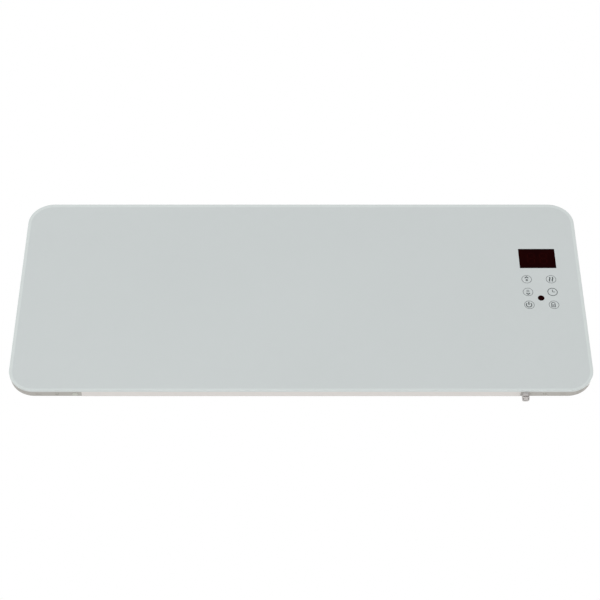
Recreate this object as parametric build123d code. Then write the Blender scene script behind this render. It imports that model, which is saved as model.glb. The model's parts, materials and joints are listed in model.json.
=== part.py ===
from build123d import *
import math
import os

# Wall panel convector heater with a flat glass front, hung on a steel bracket.
# Sizes in millimetres. X runs to the viewer's right and Z up. The wall is the plane Y = 0 and the
# heater stands out from it along -Y, so a depth is written here as "out", the distance from the wall.
# The origin is the centre of the four wall screws, which is also the centre of the glass.

# Glass panel
PANEL_W = 1000.0
PANEL_H = 420.0
PANEL_R = 45.0
DEPTH = 85.0
GLASS_T = 4.0
BEVEL_W = 6.5
BEVEL_T = 0.4
GLASS_BACK = DEPTH - GLASS_T

# Shallow edge behind the glass: a steel tray in the middle, a plastic cap at each end
EDGE_T = 13.0
EDGE_INSET = 0.5
EDGE_W = PANEL_W - 2 * EDGE_INSET
EDGE_H = PANEL_H - 2 * EDGE_INSET
EDGE_BACK = GLASS_BACK - EDGE_T
TRAY_X = 373.0
SHEET = 1.0
TRAY_LIP = 13.0
TAPE_T = 1.0
TAPE_W = 9.0
TAPE_X = 365.0
TAPE_SIDE_Z = 150.0
TAPE_EDGE = 3.0
TAPE_SIDE = 4.0
LIP_FRONT = GLASS_BACK - TAPE_T

# End caps and the ears of the tray that hold them
CAP_R = 46.5
CAP_WALL = 2.5
CAP_BACK_T = 2.0
CAP_LIP = 14.0
CAP_LIP_T = 2.0
CAP_EDGE_R = 1.0
EAR_REACH = 55.0
EAR_LOW = 150.0
EAR_HIGH = 203.0
EAR_TAB_X = (403.0, 427.0)
EAR_TAB_REACH = 7.0
CAP_SCREW_X = 415.0
CAP_SCREW_OUT = 75.5
CAP_BOSS_R = 3.3
CAP_BOSS_H = 3.0
RECESS_X = 446.0
RECESS_W = 12.0
RECESS_T = 4.0
RECESS_DEEP = 0.4
PLUG_X = 384.5
PLUG_W = 8.0
PLUG_T = 5.0
PLUG_PROUD = 1.4
PLUG_ROUND = 1.2
PLUG_RIM = 1.0
SINK_T = 1.6
SINK_HEAD_T = 1.3
SINK_HEAD_R = 2.8
SINK_CROSS = (3.2, 0.7)

# Room temperature probe under the right cap, with air slots round its tip
PROBE_X = 381.3
PROBE_OUT = 74.5
PROBE_W = 12.2
PROBE_R = 4.0
PROBE_DROP = 11.4
PROBE_NECK_R = 2.8
PROBE_BORE_R = 1.6
PROBE_TOP_Z = -203.0
PROBE_TIP_T = 2.0
PROBE_ROUND = 0.5
AIR_SLOT_T = 1.2
AIR_SLOT_DEEP = 2.4
AIR_SIDE_X = 4.2
AIR_SIDE_OUT = (-1.8, 4.4)
AIR_BACK_OUT = 3.9
AIR_BACK_HALF = 2.6
AIR_FRONT_HALF = 4.9
AIR_FRONT_DROP = (7.4, 10.4)
CLIP_T = 0.8
CLIP_HALF_X = 5.6
CLIP_HALF_OUT = 3.0
BEAD_L = 5.0

# Rear cover
WALL_GAP = 14.0
COVER_X = 430.0
COVER_LOW = -160.0
COVER_HIGH = 165.0
COVER_R = 12.0
COVER_BEND = 3.0
FLANGE = 12.0
FLANGE_OUT = EDGE_BACK - SHEET
COVER_MID = (COVER_LOW + COVER_HIGH) / 2
INLET_PITCH = 32.0
INLET_COUNT = 21
INLET_SIZE = (26.0, 5.0)
INLET_ROWS = (26.0, 38.0, 50.0)
VENT_PITCH = 12.0
VENT_COUNT = 23
VENT_SIZE = (40.0, 5.0)
VENT_ROWS = (-62.0, -114.0)
SWAGE_ROWS = (20.0, 60.0, 100.0)
SWAGE_SIZE = (300.0, 14.0)
SWAGE_PROUD = 1.5
LONG_SCREW_X = (-400.0, -240.0, -80.0, 80.0, 240.0, 400.0)
LONG_SCREW_Z = (-166.0, 171.0)
SIDE_SCREW_X = (-436.0, 436.0)
SIDE_SCREW_Z = (-80.0, 80.0)
SPACER_X = 395.0
SPACER_Z = -140.0
SPACER_R = 9.0
SPACER_EASE = 1.5

# Outlet grille in the cover's top wall
OUTLET_X = 345.0
OUTLET_OUT = (20.0, 60.0)
OUTLET_RIM = 2.0
OUTLET_DROP = 8.0
OUTLET_FLANGE_X = 6.0
OUTLET_FLANGE_OUT = 3.0
BLADE_ROWS = (27.0, 36.0, 45.0, 54.0)
BLADE_SIZE = (1.5, 10.0)
BLADE_LEAN = 30.0
BLADE_Z = COVER_HIGH - 3.0
GRILLE_RIB_PITCH = 76.0
GRILLE_RIB_COUNT = 9
GRILLE_RIB_T = 1.6

# Wall bracket and the slots of the cover that hang on it
SCREW_PITCH_X = 440.0
SCREW_PITCH_Z = 200.0
SCREW_HOLE_R = 3.5
BRACKET_W = 60.0
BRACKET_H = 300.0
BRACKET_T = 2.0
BRACKET_RIM = 12.0
BRACKET_R = 6.0
TIE_HALF = 15.0
TIE_FOLD = 8.0
HOOK_W = 30.0
HOOK_TOPS = (130.0, -120.0)
HOOK_LIP = 12.0
HOOK_GAP = 0.3
HOOK_EASE = 0.8
SLOT_W = 34.0
SLOT_H = 18.0

# Heating element, along X in the lower half of the cover
HEAT_X = 320.0
HEAT_OUT = 40.0
HEAT_Z = -90.0
CORE_R = 4.0
HUB_R = 7.0
FIN_L = 30.0
FIN_T = 2.0
FIN_SPREAD = 28.0
RIB_COUNT = 3
RIB_PITCH = 6.5
RIB_T = 1.0
RIB_REACH = 3.0
CORE_X = 338.0
COLLAR_L = 8.0
COLLAR_R = 5.5
STUD_L = 10.0
STUD_R = 1.5
HOLDER_X = 328.0
HOLDER_Z = (-128.0, -52.0)
HOLDER_NEAR = 24.0
HOLDER_FOOT = 18.0
HOLDER_SCREW_X = 337.0
HOLDER_SCREW_Z = (-118.0, -62.0)
BUSH_LIP_T = 2.0
BUSH_LIP = 2.5

# Insulation and reflector behind the tray
BOARD_T = 7.0
BOARD_X = 360.0
BOARD_LOW = -150.0
BOARD_HIGH = 155.0
FOIL_T = 0.5
FOIL_OUT = EDGE_BACK - BOARD_T - FOIL_T

# Control compartment at the right end
WALL_X = 366.0
WALL_Z = (-156.0, 161.0)
WALL_CLEAR = 1.5
CIRCUIT_T = 1.6
POWER_X = (378.0, 422.0)
POWER_Z = (-120.0, 60.0)
POWER_FRONT = 62.0
POWER_BACK = POWER_FRONT - CIRCUIT_T
TOUCH_X = (386.0, 464.0)
TOUCH_Z = (-41.0, 110.0)
TOUCH_FRONT = 75.0
TOUCH_BACK = TOUCH_FRONT - CIRCUIT_T
FILM_T = 0.3
FILM_BACK = GLASS_BACK - FILM_T
KEY_COLUMNS = (402.6, 446.1)
KEY_ROWS = (32.4, 3.8, -25.4)
KEY_PAD_R = 6.0
WINDOW_X = (392.6, 458.1)
WINDOW_Z = (58.0, 102.7)
WINDOW_LAP = 2.0
EYE_X = 424.7
EYE_Z = -10.2
EYE_R = 5.9
EYE_LAP = 1.0
EYE_BODY = 3.5
EYE_DOME_R = 2.3
POWER_SCREW_X = (382.0, 418.0)
POWER_SCREW_Z = (-114.0, 54.0)
POWER_SCREW_R = 1.3
STANDOFF_R = 2.6
TOUCH_SCREW_X = (390.5, 459.5)
TOUCH_SCREW_Z = (-36.5, 106.0)
TOUCH_SCREW_R = 1.0
TOUCH_POST_R = 2.5
HEADER_X = (396.0, 416.0)
HEADER_Z = (-36.0, -32.0)
RELAY_X = (399.0, 418.0)
RELAY_Z = (-82.0, -66.0)
RELAY_T = 15.0
COIL_X = (396.0, 420.0)
COIL_Z = (-50.0, -18.0)
COIL_T = 18.0
COIL_LID = 2.0
CAN_X = 410.0
CAN_Z = 8.0
CAN_R = 8.0
CAN_T = 16.0
CASE_EASE = 0.8
TERMINAL_X = (391.0, 400.0, 409.0)
TERMINAL_EDGE = 5.5
TERMINAL_Z = (-112.0, -97.0)
TERMINAL_T = 14.0
TERMINAL_END = 4.0
WIRE_HOLE_R = 1.8

# Main switch in the right wall of the cover
SWITCH_OUT = 40.0
SWITCH_Z = 95.0
SWITCH_BODY_Z = 9.5
SWITCH_BODY_OUT = 6.5
SWITCH_DEEP = 18.0
BEZEL = 1.0
BEZEL_T = 2.0
BEZEL_R = 1.5
WELL_DEEP = 8.0
WELL_OUT = 5.6
WELL_Z = 8.7
ROCKER_OUT = 5.3
TRUNNION_OUT = 6.2
SPADE_L = 8.0
SPADE_HALF_T = 0.4
SPADE_HALF_W = 2.4
SPADE_SHIFT = 4.5
ROCKER_TILT = 10.0
ROCKER_PROFILE = ((-3.5, -5.5), (3.6, -7.6), (2.6, 0.0), (3.6, 7.6), (-3.5, 5.5))
ROCKER_PIVOT_X = COVER_X - 0.5
TRUNNION_R = 1.5
RUNNING_GAP = 0.05

# Cord gland under the compartment
GLAND_X = 400.0
GLAND_OUT = 40.0
GLAND_BORE_R = 4.25
GLAND_THREAD_R = 6.0
GLAND_HEX = 16.0
GLAND_NUT_HEX = 15.0
GLAND_COLLAR_T = 5.0
GLAND_REACH = 12.0
GLAND_INSIDE = 7.0
GLAND_CAP_REACH = 15.0
GLAND_CAP_ROUND = 1.5
GLAND_NUT_T = 4.0
EARTH_OUT = 35.0
EARTH_Z = -142.0
EARTH_R = 2.0
EARTH_L = 11.0
EARTH_HEAD_R = 3.5
EARTH_HEAD_T = 2.0
EARTH_NUT_T = 3.0

# Pan heads of screws, as parts of the shank's radius
HEAD_T = 1.3
HEAD_SLOT_T = 0.4
HEAD_SLOT_HALF = 0.2

# Wires
LEAD_R = 1.4
THIN_LEAD_R = 1.2
PROBE_LEAD_R = 1.0
HOT_LEAD_Z = -30.0
LEAD_PAST_WALL = 5.0
LEAD_TO_SOCKET = 7.0
LEAD_LOOP = 26.0
LEAD_OUT = 57.0
RIGHT_LEAD_BENDS = (7.0, 5.0)
LEFT_LEAD_BENDS = (11.0, 25.0)
CUTOUT_X = 200.0
CUTOUT_R = 8.0
CUTOUT_ARM = 12.0
CUTOUT_FLANGE = 5.0
CUTOUT_BULGE = 3.0
FUSE_X = 240.0
FUSE_R = 2.0
FUSE_L = 12.0
SOCKET_X = 384.0
SOCKET_SIZE = 8.0
SOCKET_T = 6.4
SWITCH_SOCKETS = (379.0, 388.5)
SWITCH_SOCKET_Z = 44.0
SWITCH_LEAD_RISES = (22.0, 16.0)
SWITCH_LEAD_BENDS = ((30.0, 9.0), (20.0, 5.0))
PROBE_SOCKET_X = 400.0
PROBE_SOCKET_HALF = 3.0
PROBE_SOCKET_Z = (-41.0, -35.5)
PROBE_SOCKET_T = 4.0
PROBE_LEAD_TURNS = (-90.0, -60.0)
PROBE_LEAD_BENDS = (35.0, 25.0)
GROMMET_R = 3.0
GROMMET_LIP_R = 4.5
GROMMET_LIP_T = 1.2
LEAD_CLIP_X = (-340.0, -220.0, -100.0, 20.0, 140.0, 320.0)
LEAD_CLIP_HALF_X = 3.0
LEAD_CLIP_HALF_Z = 3.5


def block(x, out, z):
    """Box between three pairs of limits."""
    centre = ((x[0] + x[1]) / 2, -(out[0] + out[1]) / 2, (z[0] + z[1]) / 2)
    return Pos(*centre) * Box(x[1] - x[0], out[1] - out[0], z[1] - z[0])


def slab(sketch, near, far):
    """Drawing in the wall's plane, thickened between two distances from the wall."""
    return extrude(Plane.XZ.offset(near) * sketch, far - near)


def rail(sketch, low, high):
    """Drawing square to X, with Y across and Z up, drawn out along X."""
    return extrude(Plane.YZ.offset(low) * sketch, high - low)


def pin_out(x, z, near, far, radius):
    return slab(Pos(x, z) * Circle(radius), near, far)


def pin_along(out, z, low, high, radius):
    return rail(Pos(-out, z) * Circle(radius), low, high)


def pin_up(x, out, low, high, radius):
    return Pos(x, -out, (low + high) / 2) * Cylinder(radius, high - low)


def around(value, half):
    return (value - half, value + half)


def mirrored(piece):
    return mirror(piece, Plane.YZ)


def evenly(count, pitch):
    """Places of a centred row."""
    return [(k - (count - 1) / 2) * pitch for k in range(count)]


def screw_holes(places, near, far, radius=STUD_R):
    return [pin_out(x, z, near, far, radius) for x, z in places]


def screws_out(places, seat, tip, shank_r=STUD_R):
    """Slotted pan head screws that point away from the wall: heads seated at seat, ends at tip."""
    screws = []
    head_r = 2 * shank_r
    back = seat - HEAD_T * shank_r
    for x, z in places:
        slot_z = around(z, HEAD_SLOT_HALF * shank_r)
        slot = block(around(x, head_r), (back, back + HEAD_SLOT_T * shank_r), slot_z)
        screws.append(pin_out(x, z, back, seat, head_r) - slot + pin_out(x, z, seat, tip, shank_r))
    return group(screws)


def lead(points, bends, radius, name):
    """Round wire along straight runs joined by arcs; points are (x, out, z)."""
    path = FilletPolyline(*[(x, -out, z) for x, out, z in points], radius=list(bends))
    wire = sweep(Plane(path @ 0, z_dir=path % 0) * Circle(radius), path=path)
    expected = math.pi * radius**2 * path.length
    print(f"{name}: bends {bends}, volume / length x section = {wire.volume / expected:.4f}")
    return wire


def group(pieces):
    return Compound(children=list(pieces))


# ---- glass and edge ----------------------------------------------------------------------------


def glass_front():
    panel = slab(RectangleRounded(PANEL_W, PANEL_H, PANEL_R), GLASS_BACK, DEPTH)
    face = panel.faces().sort_by(Axis.Y)[0]
    return chamfer(face.outer_wire().edges(), BEVEL_W, BEVEL_T, reference=face)


def glass_bond_strips():
    """Foam tape between the glass and the lips behind it."""
    edge = PANEL_H / 2 - TAPE_W / 2 - TAPE_EDGE
    side = PANEL_W / 2 - TAPE_W / 2 - TAPE_SIDE
    long_strip = Rectangle(2 * TAPE_X, TAPE_W)
    short_strip = Rectangle(TAPE_W, 2 * TAPE_SIDE_Z)
    return group(
        [slab(Pos(0, z) * long_strip, LIP_FRONT, GLASS_BACK) for z in (-edge, edge)]
        + [slab(Pos(x, 0) * short_strip, LIP_FRONT, GLASS_BACK) for x in (-side, side)]
    )


def tray_ear(side, level):
    """Joggled strip that reaches into an end cap, with a tab for the cap's screw."""
    z = sorted((level * EAR_LOW, level * EAR_HIGH))
    near = EDGE_BACK + CAP_BACK_T
    step = block((TRAY_X - SHEET, TRAY_X), (EDGE_BACK, near + SHEET), z)
    strip = block((TRAY_X, TRAY_X + EAR_REACH), (near, near + SHEET), z)
    tab_z = sorted((level * EAR_HIGH, level * (EAR_HIGH + SHEET)))
    tab = block(EAR_TAB_X, (near, near + SHEET + EAR_TAB_REACH), tab_z)
    hole = pin_up(CAP_SCREW_X, CAP_SCREW_OUT, tab_z[0], tab_z[1], STUD_R)
    ear = step + strip + tab - hole
    return ear if side > 0 else mirrored(ear)


def front_tray():
    """Steel tray: flat back, folded top and bottom edges, and lips under the glass."""
    half = EDGE_H / 2
    tray = block((-TRAY_X, TRAY_X), (EDGE_BACK, EDGE_BACK + SHEET), (-half, half))
    for level in (-1, 1):
        edge_z = sorted((level * (half - SHEET), level * half))
        lip_z = sorted((level * (half - TRAY_LIP), level * half))
        tray += block((-TRAY_X, TRAY_X), (EDGE_BACK, GLASS_BACK), edge_z)
        tray += block((-TRAY_X, TRAY_X), (LIP_FRONT - SHEET, LIP_FRONT), lip_z)
        for side in (-1, 1):
            tray += tray_ear(side, level)
    places = [place for place in cover_screw_places() if abs(place[0]) < TRAY_X] + holder_screw_places()
    return tray - screw_holes(places, EDGE_BACK, EDGE_BACK + SHEET)


def cap_outline(inset):
    ring = RectangleRounded(EDGE_W - 2 * inset, EDGE_H - 2 * inset, CAP_R - inset)
    return ring & Pos(TRAY_X + PANEL_W / 2, 0) * Rectangle(PANEL_W, PANEL_H)


def cap_shell():
    """Right-hand end cap, open towards the glass and towards the tray."""
    cap = slab(cap_outline(0), EDGE_BACK, GLASS_BACK)
    back = cap.faces().sort_by(Axis.Y)[-1]
    rim = [edge for edge in back.edges() if edge.center().X > TRAY_X + SHEET]
    cap = fillet(rim, CAP_EDGE_R)
    cap -= slab(cap_outline(CAP_WALL), EDGE_BACK + CAP_BACK_T, LIP_FRONT - CAP_LIP_T)
    cap -= slab(cap_outline(CAP_LIP), LIP_FRONT - CAP_LIP_T, LIP_FRONT)
    cap -= slab(cap_outline(CAP_WALL), LIP_FRONT, GLASS_BACK)
    for level in (-1, 1):
        wall = level * (EDGE_H / 2 - CAP_WALL)
        top = level * (abs(wall) - CAP_BOSS_H)
        outside = level * EDGE_H / 2
        seat = level * (EDGE_H / 2 - SINK_T)
        cap += pin_up(CAP_SCREW_X, CAP_SCREW_OUT, *sorted((wall, top)), CAP_BOSS_R)
        cap -= pin_up(CAP_SCREW_X, CAP_SCREW_OUT, *sorted((outside, seat)), CAP_BOSS_R)
        cap -= pin_up(CAP_SCREW_X, CAP_SCREW_OUT, *sorted((seat, top)), STUD_R)
        recess = Pos(RECESS_X, -CAP_SCREW_OUT, outside) * SlotOverall(RECESS_W, RECESS_T)
        cap -= extrude(recess, -level * RECESS_DEEP)
    places = [place for place in cover_screw_places() if place[0] > TRAY_X]
    return cap - screw_holes(places, EDGE_BACK, EDGE_BACK + CAP_BACK_T)


def left_end_cap():
    slot = Pos(-PLUG_X, -PROBE_OUT) * SlotOverall(PLUG_W, PLUG_T)
    hole = extrude(Plane.XY.offset(-EDGE_H / 2) * slot, CAP_WALL)
    return mirrored(cap_shell()) - hole


def right_end_cap():
    cap = cap_shell()
    cap -= pin_up(PROBE_X, PROBE_OUT, -EDGE_H / 2, CAP_WALL - EDGE_H / 2, PROBE_NECK_R)
    header_x = (HEADER_X[0] - SHEET, HEADER_X[1] + SHEET)
    header_z = (HEADER_Z[0] - SHEET, HEADER_Z[1] + SHEET)
    cap -= block(header_x, (EDGE_BACK, EDGE_BACK + CAP_BACK_T), header_z)
    for x, z in touch_screw_places():
        cap += pin_out(x, z, EDGE_BACK + CAP_BACK_T, TOUCH_BACK, TOUCH_POST_R)
    return cap - screw_holes(touch_screw_places(), EDGE_BACK + SHEET, TOUCH_BACK, TOUCH_SCREW_R)


def end_cap_screw(level):
    """Sunk screw that holds a cap's edge to the tray's tab."""
    seat = level * (EDGE_H / 2 - SINK_T)
    outside = seat + level * SINK_HEAD_T
    tip = level * (EAR_HIGH - EAR_TAB_REACH)
    head = pin_up(CAP_SCREW_X, CAP_SCREW_OUT, *sorted((outside, seat)), SINK_HEAD_R)
    centre = Pos(CAP_SCREW_X, -CAP_SCREW_OUT, outside)
    head -= centre * Box(*SINK_CROSS, SINK_HEAD_T)
    head -= centre * Rot(0, 0, 90) * Box(*SINK_CROSS, SINK_HEAD_T)
    return head + pin_up(CAP_SCREW_X, CAP_SCREW_OUT, *sorted((seat, tip)), STUD_R)


def end_cap_screws():
    right = [end_cap_screw(level) for level in (-1, 1)]
    return group(right + [mirrored(screw) for screw in right])


def blanking_plug():
    """Oval plug in the hole that the probe uses at the other end."""
    low = -EDGE_H / 2
    stem = Pos(-PLUG_X, -PROBE_OUT) * SlotOverall(PLUG_W, PLUG_T)
    head = Pos(-PLUG_X, -PROBE_OUT) * SlotOverall(PLUG_W + 2 * PLUG_RIM, PLUG_T + 2 * PLUG_RIM)
    plug = extrude(Plane.XY.offset(low) * stem, CAP_WALL + PLUG_RIM)
    face = extrude(Plane.XY.offset(low - PLUG_PROUD) * head, PLUG_PROUD)
    return plug + fillet(face.faces().sort_by(Axis.Z)[0].edges(), PLUG_ROUND)


# ---- temperature probe -------------------------------------------------------------------------


def probe_air_slots():
    """Two side slots and a back slot in the probe's end, and one across its front."""
    tip = -EDGE_H / 2 - PROBE_DROP
    end_z = (tip, tip + AIR_SLOT_DEEP)
    front_z = tuple(-EDGE_H / 2 - drop for drop in reversed(AIR_FRONT_DROP))
    front = PROBE_OUT + PROBE_W / 2
    side_out = tuple(PROBE_OUT + out for out in AIR_SIDE_OUT)
    back_out = around(PROBE_OUT - AIR_BACK_OUT, AIR_SLOT_T / 2)
    slots = [
        block(around(PROBE_X + side * AIR_SIDE_X, AIR_SLOT_T / 2), side_out, end_z) for side in (-1, 1)
    ]
    slots.append(block(around(PROBE_X, AIR_BACK_HALF), back_out, end_z))
    slots.append(block(around(PROBE_X, AIR_FRONT_HALF), (front - AIR_SLOT_DEEP, front), front_z))
    return slots


def sensor_probe_shell():
    low = -EDGE_H / 2
    plan = Pos(PROBE_X, -PROBE_OUT, low - PROBE_DROP) * RectangleRounded(PROBE_W, PROBE_W, PROBE_R)
    shell = extrude(plan, PROBE_DROP)
    shell = fillet(shell.faces().sort_by(Axis.Z)[0].edges(), PROBE_ROUND)
    for slot in probe_air_slots():
        shell -= slot
    shell += pin_up(PROBE_X, PROBE_OUT, low, PROBE_TOP_Z, PROBE_NECK_R)
    return shell - pin_up(PROBE_X, PROBE_OUT, low - PROBE_DROP + PROBE_TIP_T, PROBE_TOP_Z, PROBE_BORE_R)


def sensor_probe_clip():
    """Flat spring clip that holds the probe's neck inside the cap."""
    low = CAP_WALL - EDGE_H / 2
    ends = (low, low + CLIP_T)
    clip = block(around(PROBE_X, CLIP_HALF_X), around(PROBE_OUT, CLIP_HALF_OUT), ends)
    return clip - pin_up(PROBE_X, PROBE_OUT, *ends, PROBE_NECK_R)


def thermistor():
    low = -EDGE_H / 2 - PROBE_DROP + PROBE_TIP_T
    return pin_up(PROBE_X, PROBE_OUT, low, low + BEAD_L, PROBE_BORE_R)


# ---- insulation and heating --------------------------------------------------------------------


def holder_screw_places():
    return [(x, z) for x in (-HOLDER_SCREW_X, HOLDER_SCREW_X) for z in HOLDER_SCREW_Z]


def insulation_board():
    middle = (BOARD_LOW + BOARD_HIGH) / 2
    sheet = Pos(0, middle) * Rectangle(2 * BOARD_X, BOARD_HIGH - BOARD_LOW)
    board = slab(sheet, EDGE_BACK - BOARD_T, EDGE_BACK)
    return board - screw_holes(holder_screw_places(), EDGE_BACK - BOARD_T, EDGE_BACK)


def heat_reflector():
    """Bright foil sheet folded over the top and bottom of the board."""
    plate_z = (BOARD_LOW - FOIL_T, BOARD_HIGH + FOIL_T)
    x = (-BOARD_X, BOARD_X)
    sheet = block(x, (FOIL_OUT, FOIL_OUT + FOIL_T), plate_z)
    sheet += block(x, (FOIL_OUT, EDGE_BACK), (plate_z[0], BOARD_LOW))
    sheet += block(x, (FOIL_OUT, EDGE_BACK), (BOARD_HIGH, plate_z[1]))
    return sheet - screw_holes(holder_screw_places(), FOIL_OUT, FOIL_OUT + FOIL_T)


def fin(angle):
    """One ribbed arm of the element's cross-section."""
    arm = Pos(FIN_L / 2, 0) * Rectangle(FIN_L, FIN_T)
    for rib in range(1, RIB_COUNT + 1):
        arm += Pos(HUB_R + rib * RIB_PITCH, 0) * Rectangle(RIB_T, 2 * RIB_REACH)
    return Rot(0, 0, angle) * arm


def heating_element():
    """Extruded aluminium cross of four ribbed fins round a bore for the core."""
    section = Circle(HUB_R)
    for upright in (90.0, 270.0):
        section += fin(upright - FIN_SPREAD)
        section += fin(upright + FIN_SPREAD)
    return rail(Pos(-HEAT_OUT, HEAT_Z) * (section - Circle(CORE_R)), -HEAT_X, HEAT_X)


def element_core():
    return pin_along(HEAT_OUT, HEAT_Z, -CORE_X, CORE_X, CORE_R)


def element_terminal():
    collar = pin_along(HEAT_OUT, HEAT_Z, CORE_X, CORE_X + COLLAR_L, COLLAR_R)
    stud = pin_along(HEAT_OUT, HEAT_Z, CORE_X + COLLAR_L, CORE_X + COLLAR_L + STUD_L, STUD_R)
    return collar + stud


def element_terminals():
    right = element_terminal()
    return group([right, mirrored(right)])


def element_holder():
    """Sheet steel foot that carries one end of the element on the reflector."""
    upright = block((HOLDER_X, HOLDER_X + SHEET), (HOLDER_NEAR, FOIL_OUT), HOLDER_Z)
    foot = block((HOLDER_X, HOLDER_X + HOLDER_FOOT), (FOIL_OUT - SHEET, FOIL_OUT), HOLDER_Z)
    holes = screw_holes([(HOLDER_SCREW_X, z) for z in HOLDER_SCREW_Z], FOIL_OUT - SHEET, FOIL_OUT)
    return upright + foot - pin_along(HEAT_OUT, HEAT_Z, HOLDER_X, HOLDER_X + SHEET, HUB_R) - holes


def element_holders():
    right = element_holder()
    return group([right, mirrored(right)])


def element_bush():
    """Heat-proof grommet between the element's core and its holder."""
    ends = (HOLDER_X - BUSH_LIP_T, HOLDER_X + SHEET + BUSH_LIP_T)
    bush = pin_along(HEAT_OUT, HEAT_Z, *ends, HUB_R)
    for low in (ends[0], HOLDER_X + SHEET):
        bush += pin_along(HEAT_OUT, HEAT_Z, low, low + BUSH_LIP_T, HUB_R + BUSH_LIP)
    return bush - pin_along(HEAT_OUT, HEAT_Z, *ends, CORE_R)


def element_bushes():
    right = element_bush()
    return group([right, mirrored(right)])


def holder_screws():
    return screws_out(holder_screw_places(), FOIL_OUT - SHEET, EDGE_BACK + 2 * SHEET)


def thermal_cutout():
    """Bimetal disc switch on the reflector, in the warm air above the element."""
    x = around(CUTOUT_X, CUTOUT_ARM)
    flange = block(x, (FOIL_OUT - SHEET, FOIL_OUT), around(HOT_LEAD_Z, CUTOUT_FLANGE))
    can = pin_out(CUTOUT_X, HOT_LEAD_Z, LEAD_OUT - CUTOUT_BULGE, FOIL_OUT - SHEET, CUTOUT_R)
    spades = block(x, around(LEAD_OUT, SPADE_HALF_T), around(HOT_LEAD_Z, SPADE_HALF_W))
    return flange + can + spades


def thermal_fuse():
    body = pin_along(LEAD_OUT, HOT_LEAD_Z, FUSE_X - FUSE_L / 2, FUSE_X + FUSE_L / 2, FUSE_R)
    strap = block(around(FUSE_X, FUSE_L / 4), (LEAD_OUT, FOIL_OUT), around(HOT_LEAD_Z, FUSE_R))
    return body + strap


# ---- rear cover --------------------------------------------------------------------------------


def cover_screw_places():
    long_sides = [(x, z) for x in LONG_SCREW_X for z in LONG_SCREW_Z]
    short_sides = [(x, z) for x in SIDE_SCREW_X for z in SIDE_SCREW_Z]
    return long_sides + short_sides


def cover_outline(grow):
    size = (2 * (COVER_X + grow), COVER_HIGH - COVER_LOW + 2 * grow)
    return Pos(0, COVER_MID) * RectangleRounded(*size, COVER_R + grow)


def inlet_slots():
    """Three rows of slots in the cover's underside, where cool air comes in."""
    cuts = []
    for x in evenly(INLET_COUNT, INLET_PITCH):
        for out in INLET_ROWS:
            slot = Pos(x, -out) * SlotOverall(*INLET_SIZE)
            cuts.append(extrude(Plane.XY.offset(COVER_LOW) * slot, SHEET))
    return cuts


def rear_vents():
    """Upright slots in the back, between the two brackets."""
    slot = Rot(0, 0, 90) * SlotOverall(*VENT_SIZE)
    places = [(x, z) for x in evenly(VENT_COUNT, VENT_PITCH) for z in VENT_ROWS]
    return [slab(Pos(x, z) * slot, WALL_GAP, WALL_GAP + SHEET) for x, z in places]


def swage(z, inset):
    """Long pressed swage across the back, smaller all round by the inset."""
    outline = SlotOverall(SWAGE_SIZE[0] - 2 * inset, SWAGE_SIZE[1] - 2 * inset)
    return slab(Pos(0, z) * outline, WALL_GAP - SWAGE_PROUD + inset, WALL_GAP + SHEET)


def hook_slots():
    slot = Rectangle(SLOT_W, SLOT_H)
    cuts = []
    for x in (-SCREW_PITCH_X / 2, SCREW_PITCH_X / 2):
        for top in HOOK_TOPS:
            cuts.append(slab(Pos(x, top - SLOT_H / 2) * slot, WALL_GAP, WALL_GAP + SHEET))
    return cuts


def rear_cover():
    """Deep-drawn steel cover with a flange, air slots, hook slots and stiffening swages."""
    shell = slab(cover_outline(0), WALL_GAP, FLANGE_OUT)
    shell = fillet(shell.faces().sort_by(Axis.Y)[-1].edges(), COVER_BEND)
    shell += slab(cover_outline(FLANGE), FLANGE_OUT, EDGE_BACK)
    for z in SWAGE_ROWS:
        shell += swage(z, 0)
    inside = slab(cover_outline(-SHEET), WALL_GAP + SHEET, EDGE_BACK)
    inside = fillet(inside.faces().sort_by(Axis.Y)[-1].edges(), COVER_BEND - SHEET)
    shell -= inside
    cuts = inlet_slots() + rear_vents() + hook_slots()
    cuts += [swage(z, SHEET) for z in SWAGE_ROWS]
    cuts.append(block(around(0, OUTLET_X), OUTLET_OUT, (COVER_HIGH - SHEET, COVER_HIGH)))
    cuts.append(block(
        (COVER_X - SHEET, COVER_X), around(SWITCH_OUT, SWITCH_BODY_OUT), around(SWITCH_Z, SWITCH_BODY_Z)
    ))
    cuts.append(pin_up(GLAND_X, GLAND_OUT, COVER_LOW, COVER_LOW + SHEET, GLAND_THREAD_R))
    cuts += screw_holes(cover_screw_places(), FLANGE_OUT, EDGE_BACK)
    return shell - cuts


def rear_cover_screws():
    return screws_out(cover_screw_places(), FLANGE_OUT, EDGE_BACK + CAP_BACK_T)


def outlet_grille():
    """Louvred insert in the top of the cover, which throws the warm air up and forwards."""
    low = COVER_HIGH - OUTLET_DROP
    top = COVER_HIGH + OUTLET_RIM
    near, far = OUTLET_OUT
    inner_x = OUTLET_X - OUTLET_RIM
    inner_out = (near + OUTLET_RIM, far - OUTLET_RIM)
    flange_out = (near - OUTLET_FLANGE_OUT, far + OUTLET_FLANGE_OUT)
    grille = block(around(0, OUTLET_X + OUTLET_FLANGE_X), flange_out, (COVER_HIGH, top))
    grille += block(around(0, OUTLET_X), OUTLET_OUT, (low, COVER_HIGH))
    grille -= block(around(0, inner_x), inner_out, (low, top))
    for out in BLADE_ROWS:
        blade = Pos(-out, BLADE_Z) * Rot(0, 0, BLADE_LEAN) * Rectangle(*BLADE_SIZE)
        grille += rail(blade, -inner_x, inner_x)
    for x in evenly(GRILLE_RIB_COUNT, GRILLE_RIB_PITCH):
        grille += block(around(x, GRILLE_RIB_T / 2), inner_out, (low, top - SHEET))
    return grille


def wall_spacer(x):
    """Rubber buffer that keeps the foot of the heater off the wall."""
    pad = pin_out(x, SPACER_Z, 0.0, WALL_GAP, SPACER_R)
    return chamfer(pad.faces().sort_by(Axis.Y)[-1].edges(), SPACER_EASE)


def wall_spacers():
    return group(wall_spacer(x) for x in (-SPACER_X, SPACER_X))


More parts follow.
